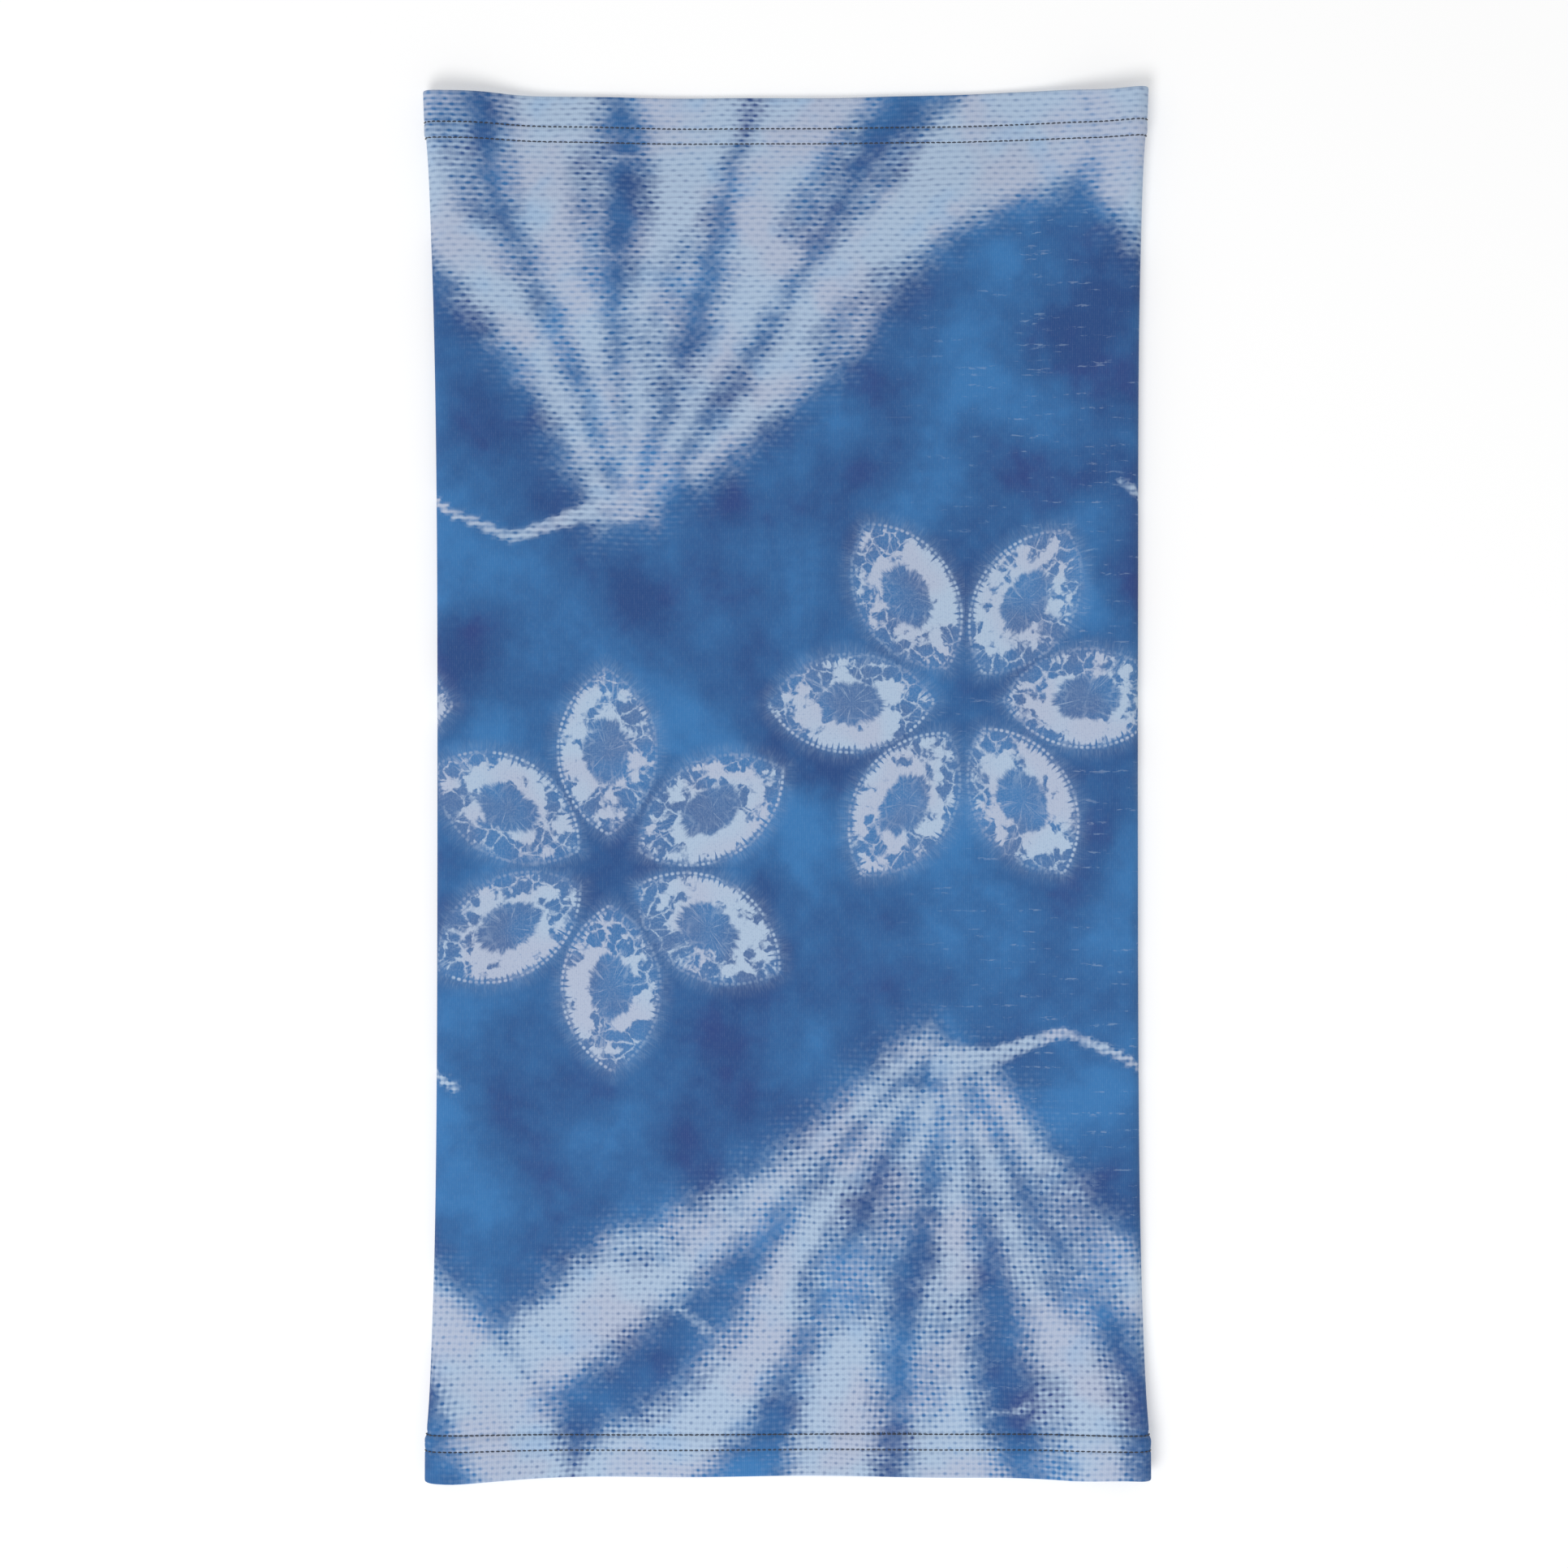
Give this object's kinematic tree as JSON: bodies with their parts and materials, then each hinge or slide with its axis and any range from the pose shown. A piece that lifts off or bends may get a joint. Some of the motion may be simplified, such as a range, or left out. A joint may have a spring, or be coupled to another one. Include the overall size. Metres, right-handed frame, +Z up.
{
  "type": "neck gaiter",
  "caption": "Stretch-knit neck gaiter, an open tube lying flat, with stitched turned-in hems at both mouths and a tie-dye look print outside.",
  "frame": {"origin": "on the resting surface, under the middle of the gaiter", "axes": "+X across the tube to the right, +Y along the tube towards the top hem, +Z up out of the front face"},
  "size_m": [0.2586, 0.498, 0.0099],
  "materials": {
    "printed_knit": "smooth matt fine-rib knit, printed outside in mottled blues with pale resist areas, plain white inside",
    "sewing_thread": "matt spun polyester thread, near black"
  },
  "bodies": {
    "root": {"knit_panel": "printed_knit", "top_hem_needle_thread_1": "sewing_thread", "top_hem_needle_thread_2": "sewing_thread", "top_hem_looper_thread": "sewing_thread", "bottom_hem_needle_thread_1": "sewing_thread", "bottom_hem_needle_thread_2": "sewing_thread", "bottom_hem_looper_thread": "sewing_thread", "seam_needle_thread_1": "sewing_thread", "seam_needle_thread_2": "sewing_thread", "seam_upper_looper_thread": "sewing_thread", "seam_lower_looper_thread": "sewing_thread"}
  },
  "joints": []
}
